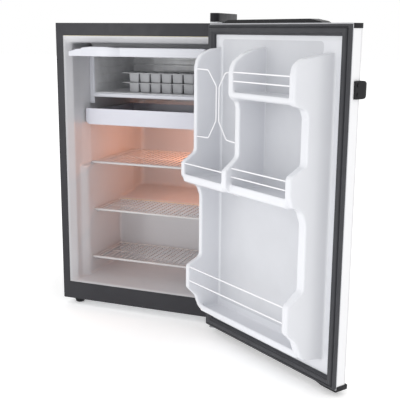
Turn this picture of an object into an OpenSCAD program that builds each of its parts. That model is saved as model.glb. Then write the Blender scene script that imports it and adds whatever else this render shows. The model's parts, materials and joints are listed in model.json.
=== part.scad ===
// Compact refrigerator with a freezer box, three wire shelves and a fitted door.
// The cabinet is drawn with x from its left side, y from its front and z from its underside,
// and the whole of it is then moved so that the middle of its four feet is the origin.

/* [Cabinet] */
// Width of the cabinet and of the door
cab_w = 496; // [470:1:520]
// Depth of the cabinet without the door
cab_d = 490; // [480:1:510]
// Height of the cabinet above its feet
cab_h = 800; // [800:1:830]
// Height of the feet
foot_h = 20; // [20:1:24]
// Thickness of the outer steel
steel = 1.2; // [0.8:0.1:1.5]
// Width of the dark frame at each side
frame_side = 22; // [20:1:26]
// Height of the dark frame at the top
frame_top = 34; // [30:1:38]
// Height of the dark frame at the bottom
frame_bottom = 52; // [48:1:54]
// Thickness of the inner liner
liner_t = 2.5; // [2:0.5:3]

/* [Door] */
// Angle the door stands open
door_open = 146.2; // [0:0.1:146.2]
// Thickness of the door behind its gasket
door_t = 32; // [30:1:36]
// How far the door stands off the cabinet
door_gap = 13; // [13:1:15]
// Hinge axis in from the door's right edge
hinge_in = 10; // [10:1:12]
// Hinge axis in front of the cabinet
hinge_out = 27; // [27:1:28]
// Width of the rubber gasket
gasket_w = 24.5; // [22:0.5:26]

/* [Freezer] */
// Front of the freezer box behind the cabinet front
freezer_front = 110; // [110:1:114]
// Top face of the freezer floor
freezer_floor = 604; // [600:1:604]
// Angle of the freezer flap, 0 open and 90 shut
flap_angle = 0; // [0:1:90]

/* [Shelves] */
// Spacing of the shelf wires
wire_pitch = 16; // [14:1:24]
// Diameter of the shelf wires
wire_d = 3; // [2.5:0.5:3.5]
// Diameter of the shelves' front rail
rail_d = 7; // [6:0.5:7.5]

/* [Hidden] */
$fn = 48;

charcoal = "#3b3b40";
abs_white = "#e4e6ee";
skin_white = "#f6f6f8";
galvanised = "#b9bcc0";
alloy = "#a4a7ab";
wire_white = "#f2f2f4";
black = "#26262a";

// cavity of the cabinet
mouth_x = 38;           // liner wall in front of the freezer
mouth_y = 24;           // depth of the bevel at the mouth's sides
step_y = 105;           // where the wall steps in to the freezer
wall_x = 45;            // liner wall beside the freezer
panel_x = 53;           // raised wall panel under the top shelf
lip_y = 12;             // depth of the bevel above and below
floor_z = 55.5;
ceiling_z = 746;
back_y = 452;
hump_y = 270;           // front of the step over the compressor
hump_front_z = 256;
hump_back_z = 268;
panel_y = 50;           // the raised panel begins here on the left
panel_right = 42;       // and this much further back on the hinge side
bay_y = 300;            // compressor bay
bay_top = 228;
bay_back_top = 240;

// shelves, as [z of the top, front y, back y, left x]
shelf_1 = [400, 102, 380, 48.5];
shelf_2 = [256, 102, 264, 54.5];
shelf_3 = [112, 84, 264, 54.5];
rib_w = 8;
rib_h = 6;
under = rail_d + 0.3;   // from a shelf's top to what carries it
panel_top = shelf_1[0] - under;

// freezer
fz_x = 58;              // outside of the freezer box from the cabinet's side
fz_back = 372;
fz_top = 731;
fz_wall = 2;
pivot_y = 97;
pivot_z = 718;
pin_r = 2.5;
flap_x = 46.3;
flap_reach = 111;       // pivot to free edge
flap_half = 7;          // half of the flap's thickness
tray_x = 154;
tray_y = 140;
tray_h = 28;
cell = 34;
cells = 7;

// feet, in from the cabinet's sides and from its front and back
foot_x = 34;
foot_y = 36;
foot_r = 15.5;

// drip tray
drip_front = 75;
drip_z = 513;
drip_top = 559;

// door, drawn shut: u from its hinge edge, t from the cabinet's front plane
door_z0 = -6;
door_z1 = cab_h - 1;
cap_h = 11;
hinge_x = cab_w - hinge_in;
back_t = -door_gap;     // face of the liner's flange and back panels
front_t = -door_gap - door_t;
hinge_fin = 40;         // outer face of the hinge-side wall
hinge_fin_in = 54;      // its inner face
divider = 208;          // the divider's two faces
divider_out = 226;
free_fin = 417;         // inner face of the free-side wall
free_fin_out = 434.5;
bin_low = 58.5;         // underside of the lowest compartment's floor
rail_r = 1.6;
handle_z = 644;
handle_h = 38;

module place() { translate([-cab_w / 2, -cab_d / 2, foot_h]) children(); }

module box(a, b) { translate(a) cube([b[0] - a[0], b[1] - a[1], b[2] - a[2]]); }

// the same on the left and the right of the cabinet
module both_sides() {
    children();
    translate([cab_w, 0, 0]) mirror([1, 0, 0]) children();
}

// a profile of [y, z] points between two x values
module side_prism(x0, x1, points) {
    translate([x0, 0, 0]) rotate([90, 0, 90]) linear_extrude(x1 - x0) polygon(points);
}

module rod(a, b, r) {
    d = b - a;
    len = norm(d);
    translate(a) rotate([0, acos(d[2] / len), atan2(d[1], d[0])]) cylinder(h = len, r = r);
}

// ---- cabinet ----

module cabinet_shell() place() color(charcoal) difference() {
    box([0, 1.5, 0], [cab_w, cab_d, cab_h]);
    box([steel, 0, -1], [cab_w - steel, cab_d + 1, cab_h - steel]);
}

module front_frame() place() color(charcoal) difference() {
    box([0, 0, 0], [cab_w, 1.5, cab_h]);
    box([frame_side, -1, frame_bottom], [cab_w - frame_side, 3, cab_h - frame_top]);
}

module back_panel() place() color(galvanised)
    box([steel, cab_d - 1, bay_back_top], [cab_w - steel, cab_d, cab_h - steel]);

module base_pan() place() color(galvanised) difference() {
    box([steel, 1.5, 0], [cab_w - steel, cab_d, 1.5]);
    for (x = [foot_x, cab_w - foot_x], y = [foot_y, cab_d - foot_y]) translate([x, y, -1]) cylinder(h = 4, r = 5);
}

module cavity(grow) {
    g = grow;
    left = [[frame_side - g, 0], [mouth_x - g, mouth_y], [mouth_x - g, step_y + g], [wall_x - g, step_y + g],
        [wall_x - g, back_y + g]];
    right = [for (i = [4 : -1 : 0]) [cab_w - left[i][0], left[i][1]]];
    side = [[0, frame_bottom - g], [lip_y, floor_z - g], [hump_y + g, floor_z - g],
        [hump_y + g, hump_front_z - g], [back_y + g, hump_back_z - g], [back_y + g, ceiling_z + g],
        [lip_y, ceiling_z + g], [0, cab_h - frame_top + g]];
    intersection() {
        linear_extrude(cab_h) polygon(concat(left, right));
        side_prism(0, cab_w, side);
    }
}

// raised wall panels that carry the top shelf, and ribs for the two lower ones
module shelf_supports() {
    raised_panel(panel_y);
    translate([cab_w, 0, 0]) mirror([1, 0, 0]) raised_panel(panel_y + panel_right);
    both_sides() {
        box([wall_x - 1, hump_y, hump_back_z], [panel_x, shelf_1[2], panel_top]);
        for (s = [shelf_2, shelf_3])
            box([panel_x - 1, s[1] + 16, s[0] - under - rib_h], [panel_x + rib_w, s[2], s[0] - under]);
    }
}

module raised_panel(y) {
    plan = [[mouth_x - 1, y], [panel_x, y + 8], [panel_x, hump_y + 1], [wall_x - 1, hump_y + 1],
        [wall_x - 1, step_y + 1], [mouth_x - 1, step_y + 1]];
    translate([0, 0, floor_z - 1]) linear_extrude(panel_top - floor_z + 1) polygon(plan);
}

module cabinet_liner() place() color(abs_white) {
    difference() {
        cavity(liner_t);
        cavity(0);
        box([-1, -1, -1], [cab_w + 1, 1.5, cab_h + 1]);
    }
    shelf_supports();
}

module cabinet_foam() place() color("#d9c98a") difference() {
    box([steel, 1.5, 1.5], [cab_w - steel, cab_d - 1, cab_h - steel]);
    cavity(liner_t);
    box([-1, bay_y - 1, -1], [cab_w + 1, cab_d + 1, bay_top + 1]);
    for (x = [foot_x, cab_w - foot_x]) translate([x, foot_y, -1]) cylinder(h = 24, r = 5);
}

module compressor_bay_wall() place() color(galvanised) {
    box([steel, bay_y - 1, 1.5], [cab_w - steel, bay_y, bay_top + 1]);
    box([steel, bay_y, bay_top], [cab_w - steel, cab_d - 1, bay_top + 1]);
    box([steel, cab_d - 1, bay_top], [cab_w - steel, cab_d, bay_back_top]);
}

// ---- freezer ----

module freezer_box() place() color(alloy) difference() {
    box([fz_x, freezer_front, freezer_floor - fz_wall], [cab_w - fz_x, fz_back, fz_top]);
    box([fz_x + fz_wall, freezer_front - 1, freezer_floor], [cab_w - fz_x - fz_wall, fz_back - fz_wall, fz_top - fz_wall]);
}

module freezer_hangers() place() color(galvanised)
    for (x = [90, cab_w - 130], y = [150, 320])
        box([x, y, fz_top], [x + 40, y + 14, ceiling_z]);

// white frame around the freezer's mouth, with the ears that hold the flap's pins
module freezer_frame() place() color(abs_white) {
    post_in = 60;
    post_y = 105.5;
    difference() {
        union() {
            box([wall_x, post_y, 572], [cab_w - wall_x, freezer_front, 736]);
            box([fz_x + 4, freezer_front, 590], [cab_w - fz_x - 4, freezer_front + 8, freezer_floor - fz_wall]);
        }
        box([post_in, post_y - 1, freezer_floor - fz_wall], [cab_w - post_in, freezer_front + 9, 728]);
        box([post_in, post_y - 1, 560], [cab_w - post_in, freezer_front + 9, 590]);
    }
    both_sides() difference() {
        box([65, pivot_y - 5, pivot_z + 2 - 8], [69, post_y, pivot_z + 14]);
        translate([60, pivot_y, pivot_z]) rotate([0, 90, 0]) cylinder(h = 14, r = pin_r + 0.05);
    }
}

module flap_place() {
    translate([0, pivot_y, pivot_z]) rotate([flap_angle, 0, 0]) translate([0, -pivot_y, -pivot_z]) children();
}

// shallow pan with a grip; drawn open, its outer face up
module freezer_flap() place() flap_place() color(abs_white) {
    y0 = pivot_y - flap_reach;
    y1 = pivot_y + 3;
    z0 = pivot_z - flap_half;
    z1 = pivot_z + flap_half;
    grip_l = 72;
    grip_r = 206;
    difference() {
        union() {
            box([flap_x, y0, z0], [cab_w - flap_x, y1, z1]);
            box([grip_r, y0, z1 - 2], [cab_w - flap_x, y0 + 7, z1 + 10]);
            // bowed grip
            intersection() {
                translate([(grip_l + grip_r) / 2, y0 + 292, 0]) cylinder(h = 900, r = 300, $fn = 96);
                box([grip_l, y0 - 9, z0 + 1], [grip_r, y0 + 12, z1 + 9]);
            }
        }
        box([flap_x + 3, y0 + 4, z0 - 1], [cab_w - flap_x - 3, y1 - 14, z1 - 4]);
        both_sides() box([63, pivot_y - 13, z0 - 1], [71, y1 + 1, z1 + 1]);
    }
}

module flap_pins() place() flap_place() color(galvanised)
    both_sides() translate([63, pivot_y, pivot_z]) rotate([0, 90, 0]) cylinder(h = 8, r = pin_r);

module ice_tray(z0) {
    wall = 1.5;
    w = cells * cell + wall;
    d = 104;
    color("#e9ebf0") difference() {
        union() {
            box([tray_x, tray_y, z0], [tray_x + w, tray_y + d, z0 + tray_h]);
            box([tray_x - 4, tray_y - 4, z0 + tray_h - 3], [tray_x + w + 4, tray_y + d + 4, z0 + tray_h]);
            box([tray_x - 24, tray_y + 8, z0 + tray_h - 3], [tray_x, tray_y + d - 8, z0 + tray_h]);
            box([tray_x + w, tray_y + 8, z0 + tray_h - 3], [tray_x + w + 24, tray_y + d - 8, z0 + tray_h]);
        }
        box([tray_x + wall, tray_y + wall, z0 + tray_h - 6], [tray_x + w - wall, tray_y + d - wall, z0 + tray_h + 1]);
        for (i = [0 : cells - 1], j = [0, 1])
            box([tray_x + wall + i * cell, tray_y + wall + j * 51, z0 + wall],
                [tray_x + (i + 1) * cell, tray_y + 51 * (j + 1) - 1, z0 + tray_h]);
        // slots that set the cups apart on the outside
        for (i = [1 : cells - 1]) for (y = [tray_y - 1, tray_y + d - 7])
            box([tray_x + i * cell - 0.2, y, z0 - 1], [tray_x + i * cell + wall + 0.2, y + 8, z0 + tray_h - 7]);
    }
}

module ice_tray_lower() place() ice_tray(freezer_floor + 0.4);

module ice_tray_upper() place() ice_tray(freezer_floor + tray_h + 0.8);

module drip_tray() place() color(abs_white) {
    x0 = 47.5;
    r = 12;
    z_side = drip_z + 3;
    difference() {
        union() {
            // front panel with round lower corners
            hull_x = cab_w - 2 * x0;
            translate([x0, drip_front + 4, drip_z]) rotate([90, 0, 0]) linear_extrude(4) union() {
                translate([0, r]) square([hull_x, drip_top - drip_z - r]);
                translate([r, 0]) square([hull_x - 2 * r, drip_top - drip_z]);
                for (x = [r, hull_x - r]) translate([x, r]) circle(r);
            }
            box([fz_x, drip_front + 3, z_side], [cab_w - fz_x, 366, 552]);
            box([wall_x + 3, drip_front + 3, 549.5], [cab_w - wall_x - 3, 366, 552]);
            // pull rail along the top of the front
            box([x0, drip_front, drip_top - 4], [cab_w - x0, drip_front + 12, drip_top]);
        }
        box([fz_x + 2.5, drip_front + 6.5, z_side + 2.5], [cab_w - fz_x - 2.5, 363.5, 560]);
        box([0, drip_front + 4, 552], [cab_w, drip_front + 13, drip_top - 4]);
    }
}

module drip_tray_guides() place() color(abs_white) both_sides()
    difference() {
        box([wall_x, step_y, 543], [56, 366, 549.2]);
        box([wall_x + 3, step_y - 1, 542], [57, 367, 546]);
    }

// ---- wire shelves ----

module wire_shelf(s) {
    x0 = s[3];
    x1 = cab_w - x0;
    front = s[1] + rail_d / 2;
    side_r = 2.5;
    back = s[2] - side_r;
    z = s[0] - rail_d / 2;
    n = floor((x1 - x0 - 20) / wire_pitch);
    start = (cab_w - n * wire_pitch) / 2;
    color(wire_white) {
        rod([x0, front, z], [x1, front, z], rail_d / 2);
        rod([x0, back, z], [x1, back, z], side_r);
        for (x = [x0 + 4, x1 - 4]) rod([x, front, z], [x, back, z], 2);
        rod([x0 + 5, (front + back) / 2, z - 1.8], [x1 - 5, (front + back) / 2, z - 1.8], 1.5);
        for (i = [0 : n]) {
            x = start + i * wire_pitch;
            rod([x, front, z + 1], [x, back, z + 1], wire_d / 2);
        }
    }
}

module shelf_top() place() wire_shelf(shelf_1);

module shelf_middle() place() wire_shelf(shelf_2);

module shelf_bottom() place() wire_shelf(shelf_3);

// ---- thermostat, lamp and door switch on the right wall ----

ctl_x = cab_w - wall_x;   // face of the right wall
ctl_w = 30;               // how far the housing stands out
ctl_y = [140, 300];
ctl_z = [450, 505];
knob_y = 172;
lamp_y = [214, 286];

module thermostat_housing() place() color(abs_white) difference() {
    box([ctl_x - ctl_w, ctl_y[0], ctl_z[0]], [ctl_x, ctl_y[1], ctl_z[1]]);
    // lamp recess, open at its side and below
    box([ctl_x - ctl_w - 1, lamp_y[0], ctl_z[0] - 1], [ctl_x - 4, lamp_y[1], ctl_z[1] - 5]);
    translate([ctl_x - ctl_w - 1, knob_y, (ctl_z[0] + ctl_z[1]) / 2]) rotate([0, 90, 0]) cylinder(h = 13, r = 4.05);
}

module thermostat_knob() place() color("#d3d6dc")
    translate([ctl_x - ctl_w, knob_y, (ctl_z[0] + ctl_z[1]) / 2]) rotate([0, -90, 0]) difference() {
        union() {
            translate([0, 0, 0.4]) cylinder(h = 10, r = 17);
            translate([0, 0, -11]) cylinder(h = 12, r = 4);
            translate([-2, 0, 10]) cube([4, 16, 3.4]);
        }
        for (a = [0 : 30 : 330]) rotate([0, 0, a + 15]) translate([18.2, 0, 2]) cylinder(h = 12, r = 2);
    }

module lamp_lens() place() color("#fff2dc") difference() {
    box([ctl_x - ctl_w, lamp_y[0] + 0.5, ctl_z[0]], [ctl_x - 4.5, lamp_y[1] - 0.5, ctl_z[1] - 5.5]);
    box([ctl_x - ctl_w + 2, lamp_y[0] + 2.5, ctl_z[0] + 2], [ctl_x - 4, lamp_y[1] - 2.5, ctl_z[1] - 4]);
}

module lamp_holder() place() color("#f0f0f0")
    translate([ctl_x - 18, lamp_y[1] - 3, 478]) rotate([90, 0, 0]) cylinder(h = 18, r = 8);

module lamp_bulb() place() color("#ffd9a8")
    translate([ctl_x - 18, lamp_y[1] - 21, 478]) rotate([90, 0, 0]) rotate_extrude() polygon([[0, 0], [6, 0],
        [9, 8], [10, 18], [8, 27], [4, 32], [0, 34]]);

switch_z = 498;
switch_x = cab_w - wall_x;

module switch_housing() place() color(abs_white) difference() {
    union() {
        box([switch_x - 14, 76, switch_z - 9], [switch_x, ctl_y[0], switch_z + 9]);
        box([switch_x - 1, 76, switch_z - 9], [cab_w - mouth_x, step_y, switch_z + 9]);
    }
    translate([switch_x - 7, 112, switch_z]) rotate([90, 0, 0]) cylinder(h = 40, r = 4.1);
}

module switch_plunger() place() color("#f7f7f7") translate([switch_x - 7, 100, switch_z]) rotate([90, 0, 0]) {
    cylinder(h = 34.5, r = 4);
}

// ---- feet ----

module levelling_foot() {
    cylinder(h = 9, r1 = foot_r - 2.5, r2 = foot_r);
    translate([0, 0, 9]) cylinder(h = 7, r = foot_r);
    translate([0, 0, 16]) cylinder(h = 24, r = 4);
}

module foot_front_left() place() color(black) translate([foot_x, foot_y, -foot_h]) levelling_foot();

module foot_front_right() place() color(black)
    translate([cab_w - foot_x, foot_y, -foot_h]) levelling_foot();

module rear_feet() place() color(black)
    for (x = [foot_x, cab_w - foot_x]) translate([x, cab_d - foot_y, -foot_h]) {
        cylinder(h = foot_h, r = foot_r);
        cylinder(h = foot_h + 8, r = 4);
    }

module foot_nuts() place() color(galvanised)
    for (x = [foot_x, cab_w - foot_x]) difference() {
        translate([x, foot_y, -3]) cylinder(h = 3, r = 9, $fn = 6);
        translate([x, foot_y, -4]) cylinder(h = 6, r = 4.05);
    }

// ---- hinges ----

module hinge_top_bracket() place() color(galvanised) difference() {
    box([hinge_x - 13.5, -38, cab_h], [hinge_x + 6.5, 82, cab_h + 3]);
    translate([hinge_x, -hinge_out, cab_h - 1]) cylinder(h = 5, r = 4);
    for (y = [26, 62]) translate([hinge_x - 5, y, cab_h - 1]) cylinder(h = 5, r = 3);
}

module hinge_top_pin() place() color(galvanised) translate([hinge_x, -hinge_out, 0]) {
    translate([0, 0, cab_h - 11]) cylinder(h = 14, r = 4);
    translate([0, 0, cab_h + 3]) cylinder(h = 2, r = 7);
}

module hinge_top_screws() place() color(galvanised)
    for (y = [26, 62]) translate([hinge_x - 5, y, cab_h]) {
        cylinder(h = 3, r = 3);
        translate([0, 0, 3]) cylinder(h = 2.5, r = 6);
    }

// cover with a rounded front, over the bracket and the head of its pin
module hinge_top_cover() place() color(charcoal) {
    x0 = hinge_x - 16.5;
    x1 = hinge_x + 9;
    r = 12;
    top = cab_h + 25;
    wall = 2;
    difference() {
        union() {
            translate([x0 + r, -40 + r, cab_h + 0.2]) cylinder(h = 24.8, r = r);
            translate([x1 - r, -40 + r, cab_h + 0.2]) cylinder(h = 24.8, r = r);
            box([x0 + r, -40, cab_h + 0.2], [x1 - r, 0, top]);
            box([x0, -40 + r, cab_h + 0.2], [x1, 112, top]);
        }
        box([x0 + wall, -26, cab_h - 1], [x1 - wall, 110, top - wall]);
        box([x0 + r, -38, cab_h - 1], [x1 - r, -20, top - wall]);
        translate([hinge_x, -hinge_out, cab_h - 1]) cylinder(h = 12, r = 7.5);
        box([x0 - 1, -41, cab_h - 1], [x1 + 1, 0, cab_h + 3.4]);
        box([x0 - 1, -1, cab_h - 1], [x1 + 1, 113, cab_h + 0.2]);
    }
}

module hinge_bottom_bracket() place() color(galvanised) difference() {
    union() {
        box([hinge_x - 7.5, -40, -12], [hinge_x + 9, 60, -9]);
        box([hinge_x - 7.5, 8, -9], [hinge_x + 9, 60, 0]);
    }
    translate([hinge_x, -hinge_out, -13]) cylinder(h = 5, r = 4);
    for (y = [22, 46]) translate([hinge_x, y, -13]) cylinder(h = 13.1, r = 2.5);
}

module hinge_bottom_pin() place() color(galvanised)
    translate([hinge_x, -hinge_out, -12]) cylinder(h = 16, r = 4);

module hinge_bottom_screws() place() color(galvanised)
    for (y = [22, 46]) translate([hinge_x, y, -14]) {
        cylinder(h = 2, r = 5);
        cylinder(h = 14, r = 2.5);
    }

// ---- machine bay and back ----

comp_x = 300;
comp_y = 392;
comp_r = 60;
comp_top = 158;

module compressor() place() color(black) translate([comp_x, comp_y, 0]) {
    translate([0, 0, 22]) rotate_extrude() polygon([[0, 0], [34, 0], [52, 8], [comp_r, 22], [comp_r, 92],
        [56, 112], [42, 128], [24, 136], [0, 136]]);
    translate([0, 0, 85]) cylinder(h = 5, r = 63);
    box([-78, -50, 15], [78, 50, 18]);
    for (x = [-40, 40], y = [-30, 30]) translate([x, y, 18]) cylinder(h = 30, r = 6);
    // stubs the pipes are brazed to
    rod([36, 30, 70], [36, 62, 70], 4.5);
    rod([-30, 40, 50], [-30, 62, 50], 4.5);
    rod([50, 0, 60], [68, 0, 60], 4.5);
}

module compressor_mounts() place() color("#1c1c1c")
    for (x = [-68, 68], y = [-38, 38]) translate([comp_x + x, comp_y + y, 1.5]) cylinder(h = 13.5, r = 9);

module compressor_relay() place() color("#3c3c3c") difference() {
    box([comp_x - 100, comp_y - 22, 50], [comp_x - 55, comp_y + 22, 84]);
    translate([comp_x, comp_y, 46]) cylinder(h = 40, r = comp_r);
}

module evaporation_pan() place() color("#2a2a2a") difference() {
    box([comp_x - 70, 318, comp_top], [comp_x + 70, 470, comp_top + 30]);
    box([comp_x - 67.5, 320.5, comp_top + 2.5], [comp_x + 67.5, 467.5, comp_top + 31]);
}

cond_y = cab_d + 12;
cond_runs = 9;
cond_pitch = 56;
cond_z0 = 262;
cond_x = [72, cab_w - 72];
cond_top = cond_z0 + (cond_runs - 1) * cond_pitch;
tube = 2.5;

module condenser_run(i) {
    z = cond_z0 + i * cond_pitch;
    rod([cond_x[0], cond_y, z], [cond_x[1], cond_y, z], tube);
}

// serpentine tube with upright wires on both faces
module condenser() place() color(black) {
    for (i = [0 : cond_runs - 1]) condenser_run(i);
    for (i = [0 : cond_runs - 2]) {
        right = i % 2 == 0;
        translate([right ? cond_x[1] : cond_x[0], cond_y, cond_z0 + (i + 0.5) * cond_pitch])
            rotate([90, 0, 0]) rotate([0, 0, right ? -90 : 90])
                rotate_extrude(angle = 180) translate([cond_pitch / 2, 0]) circle(tube);
    }
    for (i = [0 : 15], side = [-1, 1])
        rod([cond_x[0] + 16 + i * 21.3, cond_y + side * (tube + 0.9), cond_z0 - 10],
            [cond_x[0] + 16 + i * 21.3, cond_y + side * (tube + 0.9), cond_top + 10], 0.8);
}

module condenser_brackets() place() color(galvanised)
    for (x = [cond_x[0] + 4, cond_x[1] - 12], i = [1, 7]) difference() {
        z = cond_z0 + i * cond_pitch;
        box([x, cab_d, z - 7], [x + 8, cond_y + 5, z + 7]);
        condenser_run(i);
    }

// copper pipes: to the condenser, from it through the drier, back to the compressor, and the service stub
module refrigerant_pipes() place() color("#b87333") {
    out_x = comp_x + 36;
    dry_x = cab_w - 34;
    dry_y = cab_d - 18;
    pipe([[out_x, comp_y + 62, 70], [out_x, cond_y, 70], [out_x, cond_y, 196], [cond_x[0], cond_y, 196],
        [cond_x[0], cond_y, cond_z0 - tube]]);
    pipe([[cond_x[1], cond_y, cond_top], [dry_x, cond_y, cond_top], [dry_x, cond_y, 190], [dry_x, dry_y, 190]]);
    translate([dry_x, dry_y, 118]) cylinder(h = 72, r = 8);
    pipe([[dry_x, dry_y, 120], [dry_x, dry_y, 100], [dry_x, dry_y - 30, 100], [dry_x, dry_y - 30, bay_top]]);
    pipe([[comp_x + 68, comp_y, 60], [comp_x + 100, comp_y, 60], [comp_x + 100, comp_y, bay_top]]);
    pipe([[comp_x - 30, comp_y + 62, 50], [comp_x - 30, comp_y + 84, 50]]);
}

module pipe(points) {
    for (i = [0 : len(points) - 2]) rod(points[i], points[i + 1], tube);
    if (len(points) > 2) for (i = [1 : len(points) - 2]) translate(points[i]) sphere(tube + 0.2);
}

module mains_gland() place() color(black) difference() {
    union() {
        box([60, cab_d - 40, 1.5], [112, cab_d - 4, 50]);
        translate([86, cab_d - 5, 28]) rotate([-90, 0, 0]) cylinder(h = 14, r = 9);
    }
    translate([86, cab_d - 20, 28]) rotate([-90, 0, 0]) cylinder(h = 40, r = 4.5);
}

// ---- door ----

module door_place() {
    translate([hinge_x, -hinge_out, 0]) rotate([0, 0, door_open]) translate([-hinge_x, hinge_out, 0]) children();
}

// a box given in the door's own u, t and z, with the door shut
module dbox(a, b) { box([cab_w - b[0], a[1], a[2]], [cab_w - a[0], b[1], b[2]]); }

function dpoint(p) = [cab_w - p[0], p[1], p[2]];

// a [t, z] profile between two u values
module fin_prism(u0, u1, points) { side_prism(cab_w - u1, cab_w - u0, points); }

module door_skin() place() door_place() color(skin_white) difference() {
    dbox([0, front_t, door_z0 + cap_h], [cab_w, back_t - 1.6, door_z1 - cap_h]);
    dbox([1, front_t + 1, door_z0], [cab_w - 1, back_t, door_z1]);
}

module door_foam() place() door_place() color("#d9c98a") difference() {
    dbox([1, front_t + 1, door_z0 + cap_h], [cab_w - 1, back_t - 1.6, door_z1 - cap_h]);
    for (z = [door_z0 - 1, door_z1 - 16]) translate([hinge_x, -hinge_out, z]) cylinder(h = 17, r = 8);
}

module cap_profile(z0, z1) { dbox([0, front_t, z0], [cab_w, back_t - 1.6, z1]); }

module door_cap_top() place() door_place() color(black) difference() {
    union() {
        cap_profile(door_z1 - cap_h, door_z1 - 0.5);
        // low crown along the middle, left off near the hinge
        translate([0, back_t - 1.6, door_z1]) rotate([90, 0, 0]) linear_extrude(door_t - 1.6)
            polygon([[84, -2], [102, 4], [134, 9], [cab_w - 72, 8.5], [cab_w - 58, 4.5], [cab_w - 58, -2]]);
    }
    translate([hinge_x, -hinge_out, door_z1 - cap_h - 1]) cylinder(h = 20, r = 7);
}

module door_cap_bottom() place() door_place() color(black) difference() {
    cap_profile(door_z0, door_z0 + cap_h);
    translate([hinge_x, -hinge_out, door_z0 - 1]) cylinder(h = 20, r = 7);
}

module door_bushings() place() door_place() color("#e8e8e8")
    for (z = [door_z0, door_z1 - cap_h]) translate([hinge_x, -hinge_out, 0]) difference() {
        translate([0, 0, z]) cylinder(h = cap_h - 0.5, r = 7);
        translate([0, 0, z - 1]) cylinder(h = cap_h + 2, r = 4.06);
    }

// upright walls of the liner, as [t, z] outlines
foot_b = back_t - 0.5;
low_bin = [[86, 193], [86, 131], [77, 122], [61, 106], [50, 76], [40, 61.5], [foot_b, 55.5]];
hinge_fin_points = concat([[foot_b, 741], [20, 738], [50, 724], [60, 710], [64, 692], [64, 486], [102, 460],
    [102, 430], [91, 413], [56, 397], [46, 380], [46, 210]], low_bin);
free_fin_points = concat([[foot_b, 737], [20, 733], [60, 726], [80, 714], [85, 700], [85, 638], [78, 628],
    [56, 622], [48, 608], [48, 500], [88, 480], [88, 438], [82, 414], [58, 408], [46, 390], [46, 222]], low_bin);
divider_points = [[foot_b, 745], [40, 736], [74, 714], [85, 696], [85, 638], [78, 628], [68, 622], [64, 610],
    [64, 492], [102, 462], [102, 430], [94, 415], [60, 402], [foot_b, 398]];

module door_liner() place() door_place() color(abs_white) {
    dbox([0.5, back_t - 1.6, door_z0 + 2], [cab_w - 0.5, back_t, door_z1]);
    fin_prism(hinge_fin, hinge_fin_in, hinge_fin_points);
    fin_prism(divider, divider_out, divider_points);
    fin_prism(free_fin, free_fin_out, free_fin_points);
    // floors of the compartments with their front lips
    shelf_floor(divider_out, free_fin, 632, 85, 645);
    shelf_floor(divider_out, free_fin, 411, 88, 432);
    shelf_floor(hinge_fin_in, divider, 413, 102, 432);
    shelf_floor(hinge_fin_in, free_fin, bin_low, 46, 78);
}

// a floor between two upright walls, from its inner face to the depth of its lip
module shelf_floor(u0, u1, z, depth, lip_z) {
    fin_prism(u0 - 1, u1 + 1, [[foot_b, z], [depth - 6, z], [depth, z + 5], [depth, lip_z - 3], [depth - 3, lip_z],
        [depth - 6, lip_z - 3], [depth - 6, z + 9], [foot_b, z + 9]]);
}

module door_gasket() place() door_place() color("#48494d") {
    top_z = cab_h - 3.5;
    bottom_z = -1;
    u0 = 5;
    u1 = cab_w - 1;
    w = gasket_w;
    difference() {
        dbox([u0, back_t, bottom_z], [u1, -0.8, top_z]);
        dbox([u0 + w, back_t - 1, bottom_z + w], [u1 - w, 0, top_z - w]);
        // two grooves all round
        for (g = [6, 15]) difference() {
            dbox([u0 + g, -3.8, bottom_z + g], [u1 - g, 0, top_z - g]);
            dbox([u0 + g + 2.5, -4, bottom_z + g + 2.5], [u1 - g - 2.5, 1, top_z - g - 2.5]);
        }
    }
}

module door_rail(u0, u1, t, z) { rod(dpoint([u1, t, z]), dpoint([u0, t, z]), rail_r); }

module upper_bin_rails() place() door_place() color(wire_white)
    for (z = [670, 690]) door_rail(divider_out, free_fin, 81.5, z);

module bottle_bin_rails() place() door_place() color(wire_white)
    for (z = [450, 470]) door_rail(divider_out, free_fin, 83, z);

module can_tray_rail() place() door_place() color(wire_white)
    door_rail(hinge_fin_in, divider, 97, 459);

module lower_bin_rails() place() door_place() color(wire_white)
    for (z = [151, 188]) door_rail(hinge_fin_in, free_fin, 82, z);

module bent_wire(points) {
    for (i = [0 : len(points) - 2]) rod(dpoint(points[i]), dpoint(points[i + 1]), rail_r);
    // knuckles that close the bends
    for (i = [1 : len(points) - 2]) translate(dpoint(points[i]) - [0, rail_r + 0.1, 0])
        rotate([-90, 0, 0]) cylinder(h = 2 * rail_r + 0.2, r = rail_r + 0.3);
}

// two wires that bow towards each other and hold the cans in
module can_wires() place() door_place() color(wire_white) {
    t = 60;
    a = hinge_fin_in;
    bent_wire([[a, t, 690], [97, t, 689], [131, t, 652], [131, t, 570], [100, t, 525], [a, t, 524]]);
    bent_wire([[divider, t, 692], [166, t, 685], [142, t, 651], [142, t, 569], [172, t, 528], [divider, t, 525]]);
}

// pull on the free edge: a plate with two screws and a hooked grip in front of the door
module door_handle() place() door_place() color(black) {
    z0 = handle_z;
    z1 = handle_z + handle_h;
    side = cab_w;
    difference() {
        union() {
            dbox([side, front_t, z0], [side + 4, -22, z1]);
            dbox([side - 108, front_t - 18, z0], [side + 4, front_t, z1]);
        }
        // finger hollow, open below
        dbox([side - 104, front_t - 14, z0 - 1], [side - 3, front_t + 1, z1 - 6]);
        // rounded outer corner
        translate([-4, front_t - 18, z0 - 1]) difference() {
            translate([-1, -1, 0]) cube([13, 13, handle_h + 2]);
            translate([12, 12, -1]) cylinder(h = handle_h + 4, r = 12);
        }
        for (z = [z0 + 9, z1 - 9]) translate([-5, -32, z]) rotate([0, 90, 0]) cylinder(h = 6, r = 2);
    }
}

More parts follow.
